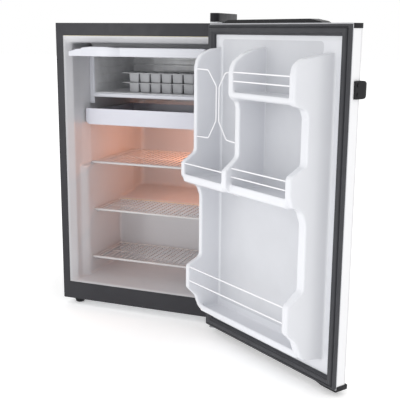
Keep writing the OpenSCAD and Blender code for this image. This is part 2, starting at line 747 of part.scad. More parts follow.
module handle_screws() place() door_place() color(galvanised)
    for (z = [handle_z + 9, handle_z + handle_h - 9]) translate([-4, -32, z]) rotate([0, 90, 0]) {
        translate([0, 0, -1.5]) cylinder(h = 1.5, r = 4);
        cylinder(h = 4, r = 2);
    }

cabinet_shell();
front_frame();
back_panel();
base_pan();
cabinet_foam();
cabinet_liner();
compressor_bay_wall();
freezer_box();
freezer_hangers();
freezer_frame();
ice_tray_lower();
ice_tray_upper();
freezer_flap();
flap_pins();
drip_tray();
drip_tray_guides();
shelf_top();
shelf_middle();
shelf_bottom();
thermostat_housing();
thermostat_knob();
lamp_lens();
lamp_bulb();
lamp_holder();
switch_housing();
switch_plunger();
foot_front_left();
foot_front_right();
rear_feet();
foot_nuts();
hinge_top_bracket();
hinge_top_pin();
hinge_top_cover();
hinge_top_screws();
hinge_bottom_bracket();
hinge_bottom_pin();
hinge_bottom_screws();
compressor();
compressor_mounts();
compressor_relay();
evaporation_pan();
condenser();
condenser_brackets();
refrigerant_pipes();
mains_gland();
door_skin();
door_foam();
door_liner();
door_gasket();
door_cap_top();
door_cap_bottom();
door_bushings();
can_wires();
can_tray_rail();
upper_bin_rails();
bottle_bin_rails();
lower_bin_rails();
door_handle();
handle_screws();
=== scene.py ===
"""The looks of a compact refrigerator with its door open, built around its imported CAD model.

Lengths are in millimetres in two local frames. The cabinet's has x from its left side, y from its front and
z from its underside. The door's has u from its hinge edge, t from the cabinet's front plane and z as above.
"""
import json
from math import atan2, cos, pi, radians, sin, tan

import bmesh
import bpy
from mathutils import Matrix, Vector


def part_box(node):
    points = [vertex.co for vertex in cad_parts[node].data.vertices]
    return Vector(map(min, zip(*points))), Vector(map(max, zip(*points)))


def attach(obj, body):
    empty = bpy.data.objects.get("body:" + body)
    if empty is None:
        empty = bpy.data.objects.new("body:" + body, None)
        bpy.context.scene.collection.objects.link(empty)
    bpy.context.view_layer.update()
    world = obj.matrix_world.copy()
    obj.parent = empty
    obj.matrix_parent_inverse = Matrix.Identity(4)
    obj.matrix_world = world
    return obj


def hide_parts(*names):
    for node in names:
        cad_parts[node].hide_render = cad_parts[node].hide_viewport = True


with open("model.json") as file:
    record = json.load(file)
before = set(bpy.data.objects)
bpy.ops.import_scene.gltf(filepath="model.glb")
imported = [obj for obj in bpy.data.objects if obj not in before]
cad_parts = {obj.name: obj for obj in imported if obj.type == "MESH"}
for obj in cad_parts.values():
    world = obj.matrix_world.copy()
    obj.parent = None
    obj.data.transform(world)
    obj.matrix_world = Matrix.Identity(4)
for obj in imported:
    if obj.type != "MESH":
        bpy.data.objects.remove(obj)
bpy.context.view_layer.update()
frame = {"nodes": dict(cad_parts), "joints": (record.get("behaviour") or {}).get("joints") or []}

# ---------------------------------------------------------------- frames

MM = 0.001
shell_lo, shell_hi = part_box("cabinet_shell")
CORNER = Vector((shell_lo.x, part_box("front_frame")[0].y, shell_lo.z))
WIDTH = (shell_hi.x - shell_lo.x) / MM
HEIGHT = (shell_hi.z - shell_lo.z) / MM
CABINET = Matrix.Translation(CORNER) @ Matrix.Scale(MM, 4)
JOINTS = {j["name"]: j for j in frame["joints"]}
HINGE = Vector(JOINTS["door_hinge"]["pos_m"])
OPEN = radians(-JOINTS["door_hinge"]["range_deg"][0])
MIRROR = Matrix(((-1, 0, 0, WIDTH), (0, 1, 0, 0), (0, 0, 1, 0), (0, 0, 0, 1)))
SWING = Matrix.Translation(HINGE) @ Matrix.Rotation(OPEN, 4, "Z") @ Matrix.Translation(-HINGE)
DOOR = SWING @ CABINET @ MIRROR


def cad(node):
    """A cabinet node's box, in the cabinet's millimetres."""
    inverse = CABINET.inverted()
    return [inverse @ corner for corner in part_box(node)]


# ---------------------------------------------------------------- materials

def material(name):
    """A new material with its node tree, its shader and its object coordinates."""
    m = bpy.data.materials.new(name)
    m.use_nodes = True
    tree = m.node_tree
    return m, tree, tree.nodes["Principled BSDF"], tree.nodes.new("ShaderNodeTexCoord").outputs["Object"]


def noise(tree, where, scale, detail=3.0, rough=0.55):
    n = tree.nodes.new("ShaderNodeTexNoise")
    n.inputs["Scale"].default_value = scale
    n.inputs["Detail"].default_value = detail
    n.inputs["Roughness"].default_value = rough
    tree.links.new(where, n.inputs["Vector"])
    return n.outputs["Fac"]


def ramp(tree, value, low, high, start=0.3, end=0.7):
    """value's span from start to end turned into low to high, each a colour or a number."""
    if isinstance(low, (int, float)):
        n = tree.nodes.new("ShaderNodeMapRange")
        for key, v in (("From Min", start), ("From Max", end), ("To Min", low), ("To Max", high)):
            n.inputs[key].default_value = v
        tree.links.new(value, n.inputs["Value"])
        return n.outputs["Result"]
    n = tree.nodes.new("ShaderNodeValToRGB")
    for stop, place, colour in zip(n.color_ramp.elements, (start, end), (low, high)):
        stop.position = place
        stop.color = (*colour, 1)
    tree.links.new(value, n.inputs["Fac"])
    return n.outputs["Color"]


def stretched(tree, where, scale):
    n = tree.nodes.new("ShaderNodeMapping")
    n.inputs["Scale"].default_value = scale
    tree.links.new(where, n.inputs["Vector"])
    return n.outputs["Vector"]


def bump(tree, shader, layers):
    """Bump from a list of (height, strength, distance in millimetres), one over the other."""
    normal = None
    for height, strength, distance in layers:
        n = tree.nodes.new("ShaderNodeBump")
        n.inputs["Strength"].default_value = strength
        n.inputs["Distance"].default_value = distance * MM
        tree.links.new(height, n.inputs["Height"])
        if normal:
            tree.links.new(normal, n.inputs["Normal"])
        normal = n.outputs["Normal"]
    tree.links.new(normal, shader.inputs["Normal"])


def shade(colour, factor):
    return tuple(min(1.0, c * factor) for c in colour)


def surface(name, colour, rough, spread=0.06, grain=900, depth=0.12, wave=0.0, metal=0.0, streaks=None,
            coat=0.0, patch=9.0, shine=0.5):
    """A moulded, painted or metal surface: uneven tone and gloss, a fine grain and perhaps a slow wave."""
    m, tree, shader, where = material(name)
    blotch = noise(tree, where, patch, 4)
    tone = ramp(tree, blotch, shade(colour, 1 - spread), shade(colour, 1 + spread * 0.6))
    tree.links.new(tone, shader.inputs["Base Color"])
    gloss = noise(tree, where, patch * 4.3, 5)
    tree.links.new(ramp(tree, gloss, rough * 0.82, min(1.0, rough * 1.2)), shader.inputs["Roughness"])
    along = stretched(tree, where, streaks) if streaks else where
    layers = [(noise(tree, along, grain, 2), 0.5, depth)]
    if wave:
        layers.append((noise(tree, where, 14, 1), 0.35, wave))
    bump(tree, shader, layers)
    shader.inputs["Metallic"].default_value = metal
    shader.inputs["Specular IOR Level"].default_value = shine
    shader.inputs["Coat Weight"].default_value = coat
    shader.inputs["Coat Roughness"].default_value = 0.12
    return m


def speckled(name, colour, rough, cell, depth, shine=0.3):
    """A plastic or paint with the pebbled grain of a leather-grained tool."""
    m, tree, shader, where = material(name)
    pebbles = tree.nodes.new("ShaderNodeTexVoronoi")
    pebbles.inputs["Scale"].default_value = cell
    tree.links.new(where, pebbles.inputs["Vector"])
    tone = ramp(tree, noise(tree, where, 12, 5), shade(colour, 0.9), shade(colour, 1.1))
    tree.links.new(tone, shader.inputs["Base Color"])
    gloss = noise(tree, where, 55, 4)
    tree.links.new(ramp(tree, gloss, rough * 0.85, rough * 1.15), shader.inputs["Roughness"])
    shader.inputs["Specular IOR Level"].default_value = shine
    bump(tree, shader, [(pebbles.outputs["Distance"], 0.45, depth), (noise(tree, where, 1500, 2), 0.3, 0.03)])
    return m


def evaporator_sheet(name, colour):
    """Rolled aluminium with the low channels the refrigerant runs in, and a dull frosted bloom."""
    m, tree, shader, where = material(name)
    band = tree.nodes.new("ShaderNodeTexWave")
    band.inputs["Scale"].default_value = 9
    band.inputs["Distortion"].default_value = 1.2
    band.bands_direction = "Z"
    tree.links.new(where, band.inputs["Vector"])
    channel = ramp(tree, band.outputs["Fac"], 0.0, 1.0, 0.55, 0.85)
    tone = ramp(tree, noise(tree, where, 16, 5), shade(colour, 0.86), shade(colour, 1.1))
    tree.links.new(tone, shader.inputs["Base Color"])
    tree.links.new(ramp(tree, noise(tree, where, 90, 4), 0.36, 0.52), shader.inputs["Roughness"])
    brushed = noise(tree, stretched(tree, where, (1, 12, 60)), 60, 3)
    bump(tree, shader, [(channel, 0.5, 0.9), (brushed, 0.3, 0.05)])
    shader.inputs["Metallic"].default_value = 0.1
    return m


def lit(name, colour, strength, rough, grain, through=0.0):
    """A part that glows from the lamp behind or within it."""
    m, tree, shader, where = material(name)
    tone = ramp(tree, noise(tree, where, 40, 3), shade(colour, 0.92), colour)
    tree.links.new(tone, shader.inputs["Base Color"])
    tree.links.new(tone, shader.inputs["Emission Color"])
    shader.inputs["Emission Strength"].default_value = strength
    shader.inputs["Transmission Weight"].default_value = through
    gloss = noise(tree, where, 120, 3)
    tree.links.new(ramp(tree, gloss, rough * 0.8, rough * 1.2), shader.inputs["Roughness"])
    bump(tree, shader, [(noise(tree, where, grain, 2), 0.4, 0.2)])
    return m


LINER = surface("white_liner", (0.72, 0.73, 0.765), 0.38, spread=0.015, grain=700, depth=0.02, wave=0.12,
                coat=0.5)
# The cabinet's liner is the door liner's white plastic made a darker grey: painted shade for the dim inside
# of the cabinet.
CABINET_LINER_SHADED = surface("cabinet_liner", (0.60, 0.60, 0.62), 0.37, spread=0.02, grain=700, depth=0.03,
                        wave=0.2, coat=0.2)
WHITE_TRIM = surface("white_trim", (0.61, 0.62, 0.665), 0.37, spread=0.015, grain=900, depth=0.03)
TRAY = surface("tray_white", (0.63, 0.635, 0.70), 0.37, spread=0.02, grain=800, depth=0.03, wave=0.1)
ICE = surface("ice_tray", (0.36, 0.365, 0.38), 0.38, spread=0.03, grain=600, depth=0.05)
CHARCOAL = speckled("charcoal_paint", (0.028, 0.028, 0.033), 0.42, 620, 0.05)
DOOR_WHITE = surface("door_white", (0.84, 0.84, 0.855), 0.38, spread=0.012, grain=420, depth=0.05, coat=0.2)
FLANGE = surface("flange_silver", (0.60, 0.61, 0.64), 0.38, spread=0.04, grain=700, depth=0.04)
GASKET = surface("gasket_rubber", (0.040, 0.041, 0.047), 0.52, spread=0.10, grain=1100, depth=0.06,
                 wave=0.2, shine=0.4)
BLACK = speckled("black_plastic", (0.013, 0.013, 0.015), 0.42, 900, 0.04, shine=0.2)
COVER = speckled("cover_plastic", (0.012, 0.012, 0.015), 0.36, 1000, 0.015, shine=0.16)
RUBBER = surface("black_rubber", (0.018, 0.018, 0.019), 0.7, spread=0.2, grain=500, depth=0.2)
WIRE = surface("coated_wire", (0.88, 0.88, 0.90), 0.37, spread=0.02, grain=500, depth=0.06, coat=0.4)
# The rounded front corners of the door's skin wear this darker grey: painted shade along the door's edges.
DOOR_EDGE_SHADE = surface("door_edge_painted_shade", (0.70, 0.70, 0.71), 0.4, spread=0.02, grain=420, depth=0.05)
SHELF_WIRE = surface("shelf_wire", (0.62, 0.61, 0.61), 0.4, spread=0.02, grain=500, depth=0.05, coat=0.2)
ZINC = surface("galvanised", (0.52, 0.53, 0.55), 0.42, spread=0.16, grain=160, depth=0.05, metal=0.85,
               patch=60)
SCREW = surface("zinc_screw", (0.62, 0.62, 0.60), 0.38, spread=0.1, grain=900, depth=0.04, metal=1.0,
                patch=90)
ALLOY = evaporator_sheet("evaporator_sheet", (0.78, 0.785, 0.80))
ENAMEL = surface("black_enamel", (0.014, 0.014, 0.015), 0.37, spread=0.15, grain=260, depth=0.12, coat=0.3)
COPPER = surface("copper_tube", (0.72, 0.33, 0.19), 0.37, spread=0.22, grain=300, depth=0.03, metal=1.0,
                 patch=70)
NYLON = surface("white_nylon", (0.70, 0.70, 0.70), 0.4, spread=0.03, grain=700, depth=0.05)
FOAM = surface("rigid_foam", (0.74, 0.64, 0.36), 0.85, spread=0.12, grain=260, depth=0.5, patch=30)
LENS = lit("lamp_lens", (1.0, 0.62, 0.42), 0.5, 0.4, 300)
BULB = lit("lamp_bulb", (1.0, 0.60, 0.36), 1.5, 0.38, 200)

# ---------------------------------------------------------------- mesh building

def outline(corners, steps=5):
    """A closed outline. Each corner is (a, b) or (a, b, radius), and a radius turns it into an arc."""
    points = []
    for i, corner in enumerate(corners):
        at = Vector(corner[:2])
        radius = corner[2] if len(corner) > 2 else 0
        back = Vector(corners[i - 1][:2]) - at
        ahead = Vector(corners[(i + 1) % len(corners)][:2]) - at
        half = back.angle(ahead) / 2
        if radius <= 0 or half > pi / 2 - 0.02:
            points.append(at)
            continue
        cut = min(radius / tan(half), back.length * 0.48, ahead.length * 0.48)
        centre = at + (back.normalized() + ahead.normalized()).normalized() * (cut / cos(half))
        start = at + back.normalized() * cut - centre
        end = at + ahead.normalized() * cut - centre
        first = atan2(start.y, start.x)
        turn = (atan2(end.y, end.x) - first + pi) % (2 * pi) - pi
        for k in range(steps + 1):
            a = first + turn * k / steps
            points.append(centre + Vector((cos(a), sin(a))) * start.length)
    return points


AXES = {"x": lambda p, h: (h, p[0], p[1]),
        "y": lambda p, h: (p[0], h, p[1]),
        "z": lambda p, h: (p[0], p[1], h)}


def prism(axis, a, b, corners):
    """A closed solid from a to b along axis, with an outline in the other two coordinates."""
    bm = bmesh.new()
    points = outline(corners)
    ends = [[bm.verts.new(AXES[axis](p, h)) for p in points] for h in (a, b)]
    for face in ends:
        bm.faces.new(face)
    for i in range(len(points)):
        j = (i + 1) % len(points)
        bm.faces.new((ends[0][i], ends[0][j], ends[1][j], ends[1][i]))
    bmesh.ops.recalc_face_normals(bm, faces=bm.faces)
    return bm


def block(lo, hi, radius=0, axis="z"):
    """A box between two corners, its edges along axis rounded."""
    k = "xyz".index(axis)
    i, j = [n for n in range(3) if n != k]
    flat = [(lo[i], lo[j], radius), (hi[i], lo[j], radius), (hi[i], hi[j], radius), (lo[i], hi[j], radius)]
    return prism(axis, lo[k], hi[k], flat)


def turned(points, steps=32):
    """A solid of revolution about z from (radius, height) points."""
    bm = bmesh.new()
    rings = []
    for r, z in points:
        if r < 1e-6:
            rings.append([bm.verts.new((0, 0, z))])
        else:
            rings.append([bm.verts.new((r * cos(2 * pi * k / steps), r * sin(2 * pi * k / steps), z))
                          for k in range(steps)])
    for low, high in zip(rings, rings[1:]):
        for k in range(steps):
            n = (k + 1) % steps
            ring = [low[k % len(low)], low[n % len(low)], high[n % len(high)], high[k % len(high)]]
            bm.faces.new(list(dict.fromkeys(ring)))
    for ring in (rings[0], rings[-1]):
        if len(ring) > 1:
            bm.faces.new(ring)
    bmesh.ops.recalc_face_normals(bm, faces=bm.faces)
    return bm


def moved(bm, matrix):
    bm.transform(matrix)
    return bm


def joined(parts):
    whole = bmesh.new()
    for part in parts:
        scrap = bpy.data.meshes.new("scrap")
        part.to_mesh(scrap)
        part.free()
        whole.from_mesh(scrap)
        bpy.data.meshes.remove(scrap)
    return whole


def as_object(name, bm):
    mesh = bpy.data.meshes.new(name)
    bm.to_mesh(mesh)
    bm.free()
    obj = bpy.data.objects.new(name, mesh)
    bpy.context.scene.collection.objects.link(obj)
    return obj


def apply_modifiers(obj):
    """The object's mesh as its modifiers leave it, as a new bmesh; the object is removed."""
    graph = bpy.context.evaluated_depsgraph_get()
    bm = bmesh.new()
    bm.from_object(obj, graph)
    bpy.data.objects.remove(obj)
    return bm


def cut(base, tool, operation="DIFFERENCE"):
    a, b = as_object("base", base), as_object("tool", tool)
    mod = a.modifiers.new("cut", "BOOLEAN")
    mod.operation, mod.object, mod.solver = operation, b, "EXACT"
    bm = apply_modifiers(a)
    bpy.data.objects.remove(b)
    return bm


def formed(parts, voxel, passes, keep=0.35):
    """Closed solids merged into one skin, with edges and corners flowed round as in a moulding."""
    obj = as_object("form", joined(parts))
    merge = obj.modifiers.new("merge", "REMESH")
    merge.mode, merge.voxel_size = "VOXEL", voxel
    flow = obj.modifiers.new("flow", "SMOOTH")
    flow.factor, flow.iterations = 0.5, passes
    thin = obj.modifiers.new("thin", "DECIMATE")
    thin.ratio = keep
    return apply_modifiers(obj)


def finish_piece(obj, body, nodes):
    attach(obj, body)
    if nodes:
        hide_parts(*nodes)
    return obj


def piece(name, bm, place, look, body, nodes=(), bevel=0.0, segments=3, angle=40):
    """A finished piece in the row frame, riding on a body and standing for CAD nodes."""
    bm.transform(place)
    bmesh.ops.recalc_face_normals(bm, faces=bm.faces)
    for face in bm.faces:
        face.smooth = True
    obj = as_object(name, bm)
    obj.data.materials.append(look)
    if bevel:
        add_bevel(obj, bevel, segments)
    else:
        obj.data.set_sharp_from_angle(angle=radians(angle))
        weigh = obj.modifiers.new("weigh", "WEIGHTED_NORMAL")
        weigh.keep_sharp = True
    return finish_piece(obj, body, nodes)


def add_bevel(obj, width, segments=3):
    mod = obj.modifiers.new("edges", "BEVEL")
    mod.width, mod.segments = width * MM, segments
    mod.limit_method, mod.angle_limit = "ANGLE", radians(32)
    mod.harden_normals = True
    mod.miter_outer = "MITER_ARC"


def rounded_path(points, radius, steps=5):
    """A polyline whose inner corners are arcs of that radius."""
    path = [Vector(points[0])]
    for before, at, after in zip(points, points[1:], points[2:]):
        before, at, after = Vector(before), Vector(at), Vector(after)
        back, ahead = (before - at), (after - at)
        half = back.angle(ahead) / 2
        reach = min(radius / tan(half), back.length * 0.45, ahead.length * 0.45)
        a, b = at + back.normalized() * reach, at + ahead.normalized() * reach
        for k in range(steps + 1):
            s = k / steps
            path.append(a * (1 - s) ** 2 + at * 2 * s * (1 - s) + b * s * s)
    path.append(Vector(points[-1]))
    return path


def wires(name, paths, place, look, body, nodes=()):
    """Round wires in one piece: each path is (points, wire radius, bend radius)."""
    curve = bpy.data.curves.new(name, "CURVE")
    curve.dimensions = "3D"
    curve.bevel_depth = MM
    curve.bevel_resolution = 4
    curve.use_fill_caps = True
    for points, radius, bend in paths:
        path = rounded_path(points, bend) if bend else [Vector(p) for p in points]
        spline = curve.splines.new("POLY")
        spline.points.add(len(path) - 1)
        for target, p in zip(spline.points, path):
            target.co = (*(place @ p), 1)
            target.radius = radius
    obj = bpy.data.objects.new(name, curve)
    bpy.context.scene.collection.objects.link(obj)
    curve.materials.append(look)
    return finish_piece(obj, body, nodes)


# ---------------------------------------------------------------- carried CAD nodes

def dress(node, look, bevel=0.0, segments=2):
    """A CAD node kept as it is, with its edges broken and its own finish."""
    obj = frame["nodes"][node]
    obj.data.materials.clear()
    obj.data.materials.append(look)
    if bevel:
        weld = obj.modifiers.new("weld", "WELD")
        weld.merge_threshold = 0.00001
        add_bevel(obj, bevel, segments)


def dress_cad():
    for node in ("cabinet_shell", "front_frame"):
        dress(node, CHARCOAL, 0.9)
    for node in ("back_panel", "base_pan", "compressor_bay_wall", "freezer_hangers"):
        dress(node, ZINC)
    for node in ("foot_nuts", "hinge_top_bracket", "hinge_bottom_bracket", "condenser_brackets"):
        dress(node, ZINC, 0.4)
    for node in ("hinge_top_pin", "hinge_bottom_pin", "hinge_top_screws", "hinge_bottom_screws", "flap_pins"):
        dress(node, SCREW, 0.3)
    dress("cabinet_foam", FOAM)
    dress("freezer_box", ALLOY, 1.0)
    dress("drip_tray", TRAY, 1.4, 4)
    dress("drip_tray_guides", WHITE_TRIM, 0.4)
    for node in ("thermostat_housing", "switch_housing"):
        dress(node, WHITE_TRIM, 2.5, 4)
    for node in ("thermostat_knob", "switch_plunger", "lamp_holder", "door_bushings"):
        dress(node, NYLON, 0.5)
    dress("lamp_lens", LENS, 0.8)
    dress("lamp_bulb", BULB)
    dress("rear_feet", BLACK, 1.5)
    dress("compressor", ENAMEL, 1.5)
    dress("condenser", ENAMEL)
    dress("compressor_mounts", RUBBER, 1.5)
    for node in ("compressor_relay", "evaporation_pan", "mains_gland"):
        dress(node, BLACK, 1.5)
    dress("refrigerant_pipes", COPPER)
    dress("handle_screws", BLACK, 0.4)


# ---------------------------------------------------------------- cabinet

MOUTH_X, MOUTH_Y, STEP_Y, WALL_X, PANEL_X = 38, 24, 105, 45, 53
FRAME_SIDE, FRAME_TOP, FRAME_BOTTOM = 22, 34, 52
LIP_Y, FLOOR_Z, CEILING_Z, BACK_Y = 12, 55.5, 746, 452
HUMP_Y, HUMP_FRONT_Z, HUMP_BACK_Z = 270, 256, 268
PANEL_Y, PANEL_RIGHT, PANEL_TOP = 50, 42, 392.7


def both(points):
    """Points on the left joined by their mirror images on the right."""
    return points + [(WIDTH - p[0], *p[1:]) for p in reversed(points)]


def cabinet_liner():
    """The formed cabinet liner: its mouth, the step over the compressor bay and the raised wall panels."""
    plan = both([(FRAME_SIDE, 0), (MOUTH_X, MOUTH_Y), (MOUTH_X, 60, 40), (WALL_X, STEP_Y, 40),
                 (WALL_X, BACK_Y, 14)])
    side = [(0, FRAME_BOTTOM), (LIP_Y, FLOOR_Z, 6), (HUMP_Y, FLOOR_Z, 14), (HUMP_Y, HUMP_FRONT_Z, 10),
            (BACK_Y, HUMP_BACK_Z, 12), (BACK_Y, CEILING_Z, 14), (LIP_Y, CEILING_Z, 6),
            (0, HEIGHT - FRAME_TOP)]
    cavity = cut(prism("z", 0, HEIGHT, plan), prism("x", 0, WIDTH, side), "INTERSECT")
    rim, wall, front = 9, 12, 1.6
    bottom, top = FRAME_BOTTOM - rim, HEIGHT - FRAME_TOP + rim
    outside = prism("x", FRAME_SIDE - rim, WIDTH - FRAME_SIDE + rim, [
        (front, bottom), (HUMP_Y + wall, bottom), (HUMP_Y + wall, HUMP_FRONT_Z - wall),
        (BACK_Y + wall, HUMP_BACK_Z - wall), (BACK_Y + wall, top), (front, top)])
    skin = cut(outside, cavity)
    parts = [skin, block((WALL_X + 12, 98, CEILING_Z - 13), (WIDTH - WALL_X - 12, 106, CEILING_Z + 4))]
    sunk, panel_back = 4, 380
    for y, mirrored in ((PANEL_Y, False), (PANEL_Y + PANEL_RIGHT, True)):
        plan = [(MOUTH_X - sunk, y - 10), (PANEL_X, y + 20, 30), (PANEL_X, HUMP_Y + 3),
                (MOUTH_X - sunk, HUMP_Y + 3)]
        low = prism("z", FLOOR_Z - sunk, PANEL_TOP, plan)
        high = block((WALL_X - sunk, HUMP_Y - 2, HUMP_FRONT_Z - sunk), (PANEL_X, panel_back, PANEL_TOP))
        for part in (low, high):
            parts.append(moved(part, MIRROR) if mirrored else part)
    return formed(parts, 3.4, 5)


def shelf_ribs():
    """The ledges that carry the two lower shelves, with rounded fronts."""
    parts = []
    for node in ("shelf_middle", "shelf_bottom"):
        lo, hi = cad(node)
        for mirrored in (False, True):
            rib = block((PANEL_X - 2, lo.y + 16, lo.z - 6.3), (PANEL_X + 8, hi.y, lo.z - 0.3), 3, "z")
            parts.append(moved(rib, MIRROR) if mirrored else rib)
    return joined(parts)


def wire_shelf(node):
    """A coated wire shelf: thick front rail, side and back rods, and fine wires laid over them."""
    lo, hi = cad(node)
    rail, side, back, fine, pitch = 3.5, 2.0, 2.4, 1.2, 16
    z = hi.z - rail
    x0, x1, y0, y1 = lo.x, hi.x, lo.y + rail, hi.y - 2.5
    middle = (y0 + y1) / 2
    paths = [([(x0, y0, z), (x1, y0, z)], rail, 0),
             ([(x0 + 4, y0, z), (x0 + 4, y1, z), (x1 - 4, y1, z), (x1 - 4, y0, z)], side, 6),
             ([(x0, y1, z), (x1, y1, z)], back, 0),
             ([(x0 + 5, middle, z - 2.2), (x1 - 5, middle, z - 2.2)], fine, 0)]
    count = int((x1 - x0 - 20) // pitch)
    first = (x0 + x1 - count * pitch) / 2
    for i in range(count + 1):
        x = first + i * pitch
        paths.append(([(x, y0, z + 1), (x, y1, z + 1)], fine, 0))
    wires(node, paths, CABINET, SHELF_WIRE, node, (node,))


def freezer_frame():
    """White frame of the freezer's mouth: grooved posts, head and rounded sill."""
    lo, hi = cad("freezer_frame")
    post_y, sill_lo, sill_hi, head = lo.y + 13.5, 590, 602, 728
    parts = []
    for mirrored in (False, True):
        side = [block((lo.x, post_y, lo.z), (60, 110, hi.z - 1), 1.5),
                block((lo.x + 1.5, post_y - 1.1, lo.z + 4), (lo.x + 5, post_y + 1, head - 4), 1, "z"),
                block((54.5, post_y - 1.1, lo.z + 4), (58.5, post_y + 1, head - 4), 1, "z")]
        parts += [moved(part, MIRROR) if mirrored else part for part in side]
    parts.append(block((60, post_y, head), (WIDTH - 60, 110, hi.z), 1, "x"))
    parts.append(block((59, post_y, sill_lo), (WIDTH - 59, hi.y, sill_hi), 3.5, "x"))
    return joined(parts)


def flap_ears():
    """Ears with holes, which hold the flap's pins."""
    parts = []
    for mirrored in (False, True):
        ring = [(7 * cos(a), 7 * sin(a)) for a in [2 * pi * k / 24 for k in range(24)]]
        ear = prism("x", 65, 69, [(97 + a, 718 + b) for a, b in ring])
        arm = prism("x", 65, 69, [(97, 725), (105.6, 732), (105.6, 712), (99, 712)])
        solid = cut(ear, arm, "UNION")
        hole = prism("x", 60, 74, [(97 + a * 2.55 / 7, 718 + b * 2.55 / 7) for a, b in ring])
        solid = cut(solid, hole)
        parts.append(moved(solid, MIRROR) if mirrored else solid)
    return joined(parts)


def flap():
    """The flap as it stands open, its outer face up: a shallow pan with a front bar and a bowed grip."""
    lo, hi = cad("freezer_flap")
    x0, x1, back, low, face = lo.x, hi.x, hi.y, lo.z, lo.y + 9
    corner, grip_end, top = 86, 206, hi.z
    pan = prism("x", x0, x1, [(face, low, 3), (face, low + 14, 4), (back, low + 14, 3), (back, low, 3)])
    pan = cut(pan, block((x0 + 4, face + 5, low - 5), (x1 - 4, back - 14, low + 10), 5))
    for a, b in ((63, 71), (WIDTH - 71, WIDTH - 63)):
        pan = cut(pan, block((a, 84, low - 3), (b, back + 3, top + 3)))
    bar = [(face, low, 2), (face, top, 3), (face + 8, top, 3), (face + 8, low, 2)]
    bar = prism("x", grip_end - 8, x1, bar)
    end = [(x0, low), (x0, low + 11, 3), (70, top - 5, 14), (corner + 4, top - 3.5), (corner + 4, low)]
    end = prism("y", face, face + 12, end)
    middle, half = (corner + grip_end) / 2, (grip_end - corner) / 2
    depth = face - lo.y
    bow = [(corner, face + 13), (corner, face + 1)]
    for k in range(-10, 11):
        bow.append((middle + k / 10 * half, lo.y + 0.2 + depth * (k / 10) ** 2))
    bow.append((grip_end, face + 13))
    grip = prism("z", low, top + 2, bow)
    crown = [(corner - 2, low - 2), (corner - 2, top - 1.5), (115, hi.z + 1.6, 20), (160, hi.z + 1.6, 20),
             (grip_end + 2, top - 2), (grip_end + 2, low - 2)]
    grip = cut(grip, prism("y", lo.y - 5, back, crown), "INTERSECT")
    return formed([pan, bar, end, grip], 1.3, 2)


def ice_tray(node):
    """Two rows of tapered cups under a rim with a lifting tab at each end."""
    lo, hi = cad(node)
    cups, rows, wall, tab = 7, 2, 1.6, 24
    x0, x1 = lo.x + tab, hi.x - tab
    y0, y1 = lo.y + 4, hi.y - 4
    pitch_x, pitch_y = (x1 - x0) / cups, (y1 - y0) / rows
    rim, floor = hi.z - 2.2, lo.z

    def cup(i, j, inset, z0, z1, taper):
        a = (x0 + i * pitch_x + inset, y0 + j * pitch_y + inset)
        b = (x0 + (i + 1) * pitch_x - inset, y0 + (j + 1) * pitch_y - inset)
        bm = bmesh.new()
        rings = []
        for z, t in ((z0, taper + 1.4), (z0 + 2, taper), (z1, 0)):
            plan = outline([(a[0] + t, a[1] + t, 3), (b[0] - t, a[1] + t, 3), (b[0] - t, b[1] - t, 3),
                            (a[0] + t, b[1] - t, 3)], 3)
            rings.append([bm.verts.new((p.x, p.y, z)) for p in plan])
        for low, high in zip(rings, rings[1:]):
            for k in range(len(low)):
                n = (k + 1) % len(low)
                bm.faces.new((low[k], low[n], high[n], high[k]))
        bm.faces.new(rings[0])
        bm.faces.new(rings[-1])
        bmesh.ops.recalc_face_normals(bm, faces=bm.faces)
        return bm

    cells = [(i, j) for i in range(cups) for j in range(rows)]
    shell = block((x0 - 4, lo.y, rim), (x1 + 4, hi.y, hi.z), 5)
    ends = block((lo.x, y0 + 8, rim), (hi.x, y1 - 8, hi.z), 5)
    solid = cut(shell, ends, "UNION")
    solid = cut(solid, joined([cup(i, j, 1.1, floor, rim + 0.5, 1.5) for i, j in cells]), "UNION")
    return cut(solid, joined([cup(i, j, 1.1 + wall, floor + wall, hi.z + 1, 1.5) for i, j in cells]))


def evaporator_channels():
    """Half-round channels pressed into the walls of the freezer box, on its three inner sides."""
    lo, hi = cad("freezer_box")
    inset, start = 1.7, lo.y + 22
    x0, x1, y1 = lo.x + inset, hi.x - inset, hi.y - inset
    paths = []
    for z in (lo.z + 26, lo.z + 50, lo.z + 74, lo.z + 98):
        paths.append(([(x0, start, z), (x0, y1, z), (x1, y1, z), (x1, start, z)], 1.9, 9))
    wires("evaporator_channels", paths, CABINET, ALLOY, "cabinet", ())


def gasket_ring(u0, u1, z0, z1, profile):
    """A closed strip round the door with mitred corners; the profile is (width inwards, t) points."""
    bm = bmesh.new()
    rings = []
    for w, t in profile:
        rings.append([bm.verts.new(p) for p in ((u0 + w, t, z0 + w), (u1 - w, t, z0 + w), (u1 - w, t, z1 - w),
                                                (u0 + w, t, z1 - w))])
    for ring, following in zip(rings, rings[1:] + rings[:1]):
        for k in range(4):
            n = (k + 1) % 4
            bm.faces.new((ring[k], ring[n], following[n], following[k]))
    return bm


def build_cabinet():
    # The liner and its shelf ribs take the darker liner grey, which is painted shade.
    piece("cabinet_liner", cabinet_liner(), CABINET, CABINET_LINER_SHADED, "cabinet", ("cabinet_liner",),
          angle=60)
    piece("shelf_ribs", shelf_ribs(), CABINET, CABINET_LINER_SHADED, "cabinet", (), bevel=2)
    for node in ("shelf_top", "shelf_middle", "shelf_bottom"):
        wire_shelf(node)
    piece("freezer_frame", freezer_frame(), CABINET, WHITE_TRIM, "cabinet", ("freezer_frame",),
          bevel=0.6)
    piece("flap_ears", flap_ears(), CABINET, WHITE_TRIM, "cabinet", (), bevel=0.4)
    piece("freezer_flap", flap(), CABINET, WHITE_TRIM, "flap", ("freezer_flap",), angle=60)
    for node in ("ice_tray_lower", "ice_tray_upper"):
        piece(node, ice_tray(node), CABINET, ICE, node, (node,), bevel=0.5, segments=2)
    evaporator_channels()


